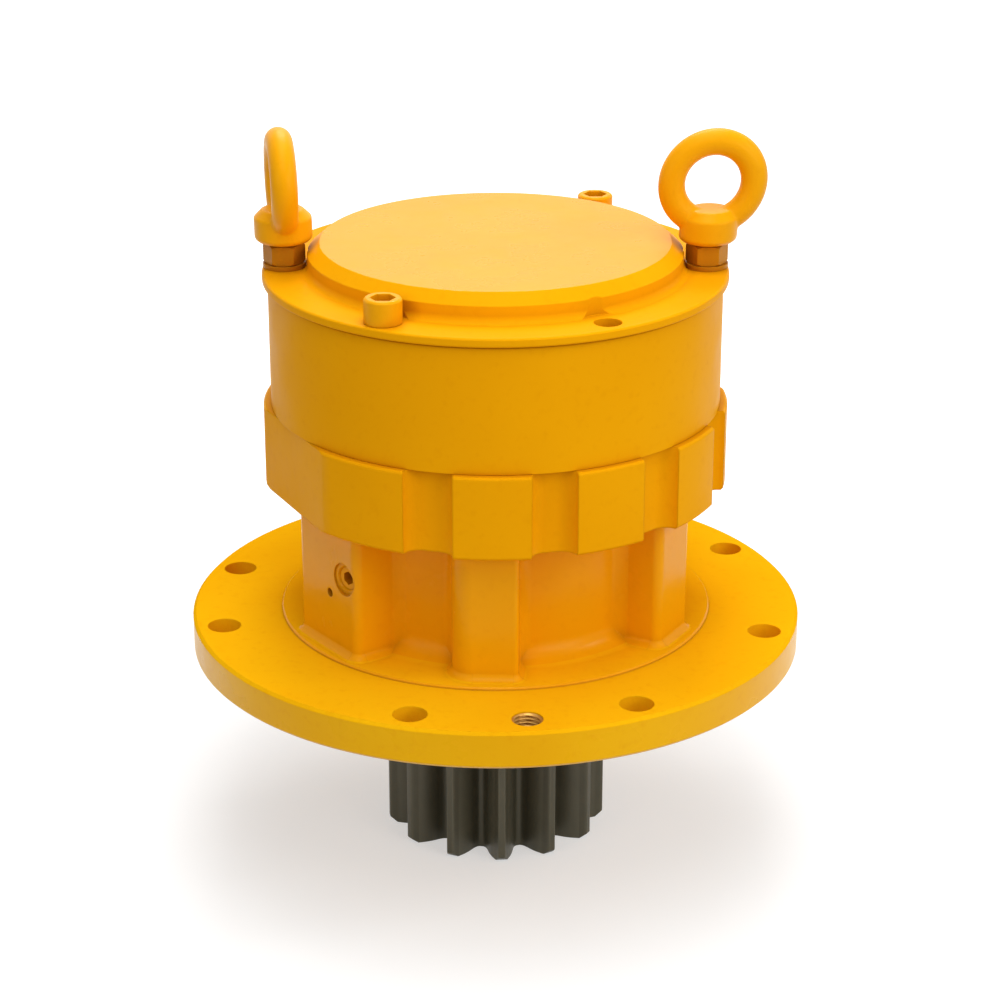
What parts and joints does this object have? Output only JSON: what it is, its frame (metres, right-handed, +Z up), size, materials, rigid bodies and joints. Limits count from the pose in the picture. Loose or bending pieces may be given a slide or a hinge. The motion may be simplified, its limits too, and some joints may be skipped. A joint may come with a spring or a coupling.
{
  "type": "excavator swing gearbox",
  "caption": "Vertical planetary swing reducer with a round bolted flange, a ribbed lower housing, a drum-shaped ring gear, lifting eyes and an output pinion underneath.",
  "frame": {"origin": "centre of the mounting flange's lower face, on the gearbox axis", "axes": "+Z up the gearbox axis towards the cover, pinion pointing to -Z; -Y is the side with the jacking hole in view; the lifting eyes lie on the X axis"},
  "size_m": [0.41, 0.4098, 0.4903],
  "materials": {
    "machine_paint": "glossy orange-yellow machinery enamel",
    "painted_fastener": "the same enamel, sprayed over the fastener",
    "black_fastener": "black oxide",
    "dark_steel": "oiled dark forged and hobbed steel",
    "ground_steel": "ground",
    "bearing_steel": "polished",
    "gear_steel": "case-hardened and ground",
    "cast_carrier": "machined ductile iron",
    "bronze": "turned bronze",
    "seal_rubber": "matte nitrile rubber"
  },
  "bodies": {
    "housing": {"lower_housing": "machine_paint", "ring_gear": "machine_paint", "top_cover": "machine_paint", "cover_screws": "painted_fastener", "eye_bolt_left": "painted_fastener", "eye_bolt_right": "painted_fastener", "eye_bolt_nuts": "painted_fastener", "eye_bolt_washers": "painted_fastener", "drain_plug": "painted_fastener", "ring_gear_bolts": "black_fastener", "dowel_pins": "ground_steel", "cover_o_ring": "seal_rubber", "lower_bearing_cup": "bearing_steel", "upper_bearing_cup": "bearing_steel", "output_oil_seal": "seal_rubber", "seal_carrier": "machine_paint", "seal_carrier_screws": "painted_fastener", "seal_carrier_o_ring": "seal_rubber"},
    "output": {"pinion_shaft": "dark_steel", "seal_collar": "ground_steel", "lower_bearing_cone": "bearing_steel", "preload_spacer": "ground_steel", "upper_bearing_cone": "bearing_steel", "carrier_2": "cast_carrier", "carrier_2_pins": "ground_steel", "carrier_2_lock_pins": "ground_steel", "planet_2_washers": "bronze", "shaft_end_plate": "ground_steel", "shaft_end_bolts": "black_fastener", "stage_thrust_ring": "bronze"},
    "lower_roller_set": {"lower_bearing_rollers": "ground_steel", "lower_bearing_cage": "bearing_steel"},
    "upper_roller_set": {"upper_bearing_rollers": "ground_steel", "upper_bearing_cage": "bearing_steel"},
    "planet_2a": {"planet_gear_2a": "gear_steel", "needle_rollers_2a": "ground_steel"},
    "planet_2b": {"planet_gear_2b": "gear_steel", "needle_rollers_2b": "ground_steel"},
    "planet_2c": {"planet_gear_2c": "gear_steel", "needle_rollers_2c": "ground_steel"},
    "planet_2d": {"planet_gear_2d": "gear_steel", "needle_rollers_2d": "ground_steel"},
    "first_carrier": {"carrier_1": "cast_carrier", "carrier_1_pins": "ground_steel", "carrier_1_lock_pins": "ground_steel", "planet_1_washers": "bronze", "carrier_1_pin_clips": "black_fastener", "sun_gear_2": "gear_steel", "sun_gear_2_clip": "black_fastener"},
    "planet_1a": {"planet_gear_1a": "gear_steel", "needle_rollers_1a": "ground_steel"},
    "planet_1b": {"planet_gear_1b": "gear_steel", "needle_rollers_1b": "ground_steel"},
    "planet_1c": {"planet_gear_1c": "gear_steel", "needle_rollers_1c": "ground_steel"},
    "input": {"sun_gear_1": "gear_steel"}
  },
  "joints": [
    {"name": "output_spin", "type": "hinge", "parent": "housing", "child": "output", "pos_m": [0, 0, 0], "axis": [0, 0, 1], "continuous": true},
    {"name": "lower_rollers_spin", "type": "hinge", "parent": "housing", "child": "lower_roller_set", "pos_m": [0, 0, 0.0275], "axis": [0, 0, 1], "continuous": true},
    {"name": "upper_rollers_spin", "type": "hinge", "parent": "housing", "child": "upper_roller_set", "pos_m": [0, 0, 0.115], "axis": [0, 0, 1], "continuous": true},
    {"name": "planet_2a_spin", "type": "hinge", "parent": "output", "child": "planet_2a", "pos_m": [0.072, 0, 0.19], "axis": [0, 0, 1], "continuous": true},
    {"name": "planet_2b_spin", "type": "hinge", "parent": "output", "child": "planet_2b", "pos_m": [0, 0.072, 0.19], "axis": [0, 0, 1], "continuous": true},
    {"name": "planet_2c_spin", "type": "hinge", "parent": "output", "child": "planet_2c", "pos_m": [-0.072, 0, 0.19], "axis": [0, 0, 1], "continuous": true},
    {"name": "planet_2d_spin", "type": "hinge", "parent": "output", "child": "planet_2d", "pos_m": [0, -0.072, 0.19], "axis": [0, 0, 1], "continuous": true},
    {"name": "first_carrier_spin", "type": "hinge", "parent": "housing", "child": "first_carrier", "pos_m": [0, 0, 0.22], "axis": [0, 0, 1], "continuous": true},
    {"name": "planet_1a_spin", "type": "hinge", "parent": "first_carrier", "child": "planet_1a", "pos_m": [0.078, 0, 0.238], "axis": [0, 0, 1], "continuous": true},
    {"name": "planet_1b_spin", "type": "hinge", "parent": "first_carrier", "child": "planet_1b", "pos_m": [-0.039, 0.06755, 0.238], "axis": [0, 0, 1], "continuous": true},
    {"name": "planet_1c_spin", "type": "hinge", "parent": "first_carrier", "child": "planet_1c", "pos_m": [-0.039, -0.06755, 0.238], "axis": [0, 0, 1], "continuous": true},
    {"name": "input_spin", "type": "hinge", "parent": "housing", "child": "input", "pos_m": [0, 0, 0.24], "axis": [0, 0, 1], "continuous": true}
  ],
  "couplings": [
    {"joint": "lower_rollers_spin", "follows": "output_spin", "ratio": 0.4417},
    {"joint": "upper_rollers_spin", "follows": "output_spin", "ratio": 0.4438},
    {"joint": "planet_2a_spin", "follows": "output_spin", "ratio": -2.7143},
    {"joint": "planet_2b_spin", "follows": "output_spin", "ratio": -2.7143},
    {"joint": "planet_2c_spin", "follows": "output_spin", "ratio": -2.7143},
    {"joint": "planet_2d_spin", "follows": "output_spin", "ratio": -2.7143},
    {"joint": "first_carrier_spin", "follows": "output_spin", "ratio": 4.8},
    {"joint": "planet_1a_spin", "follows": "output_spin", "ratio": -15.2},
    {"joint": "planet_1b_spin", "follows": "output_spin", "ratio": -15.2},
    {"joint": "planet_1c_spin", "follows": "output_spin", "ratio": -15.2},
    {"joint": "input_spin", "follows": "output_spin", "ratio": 17.829}
  ]
}
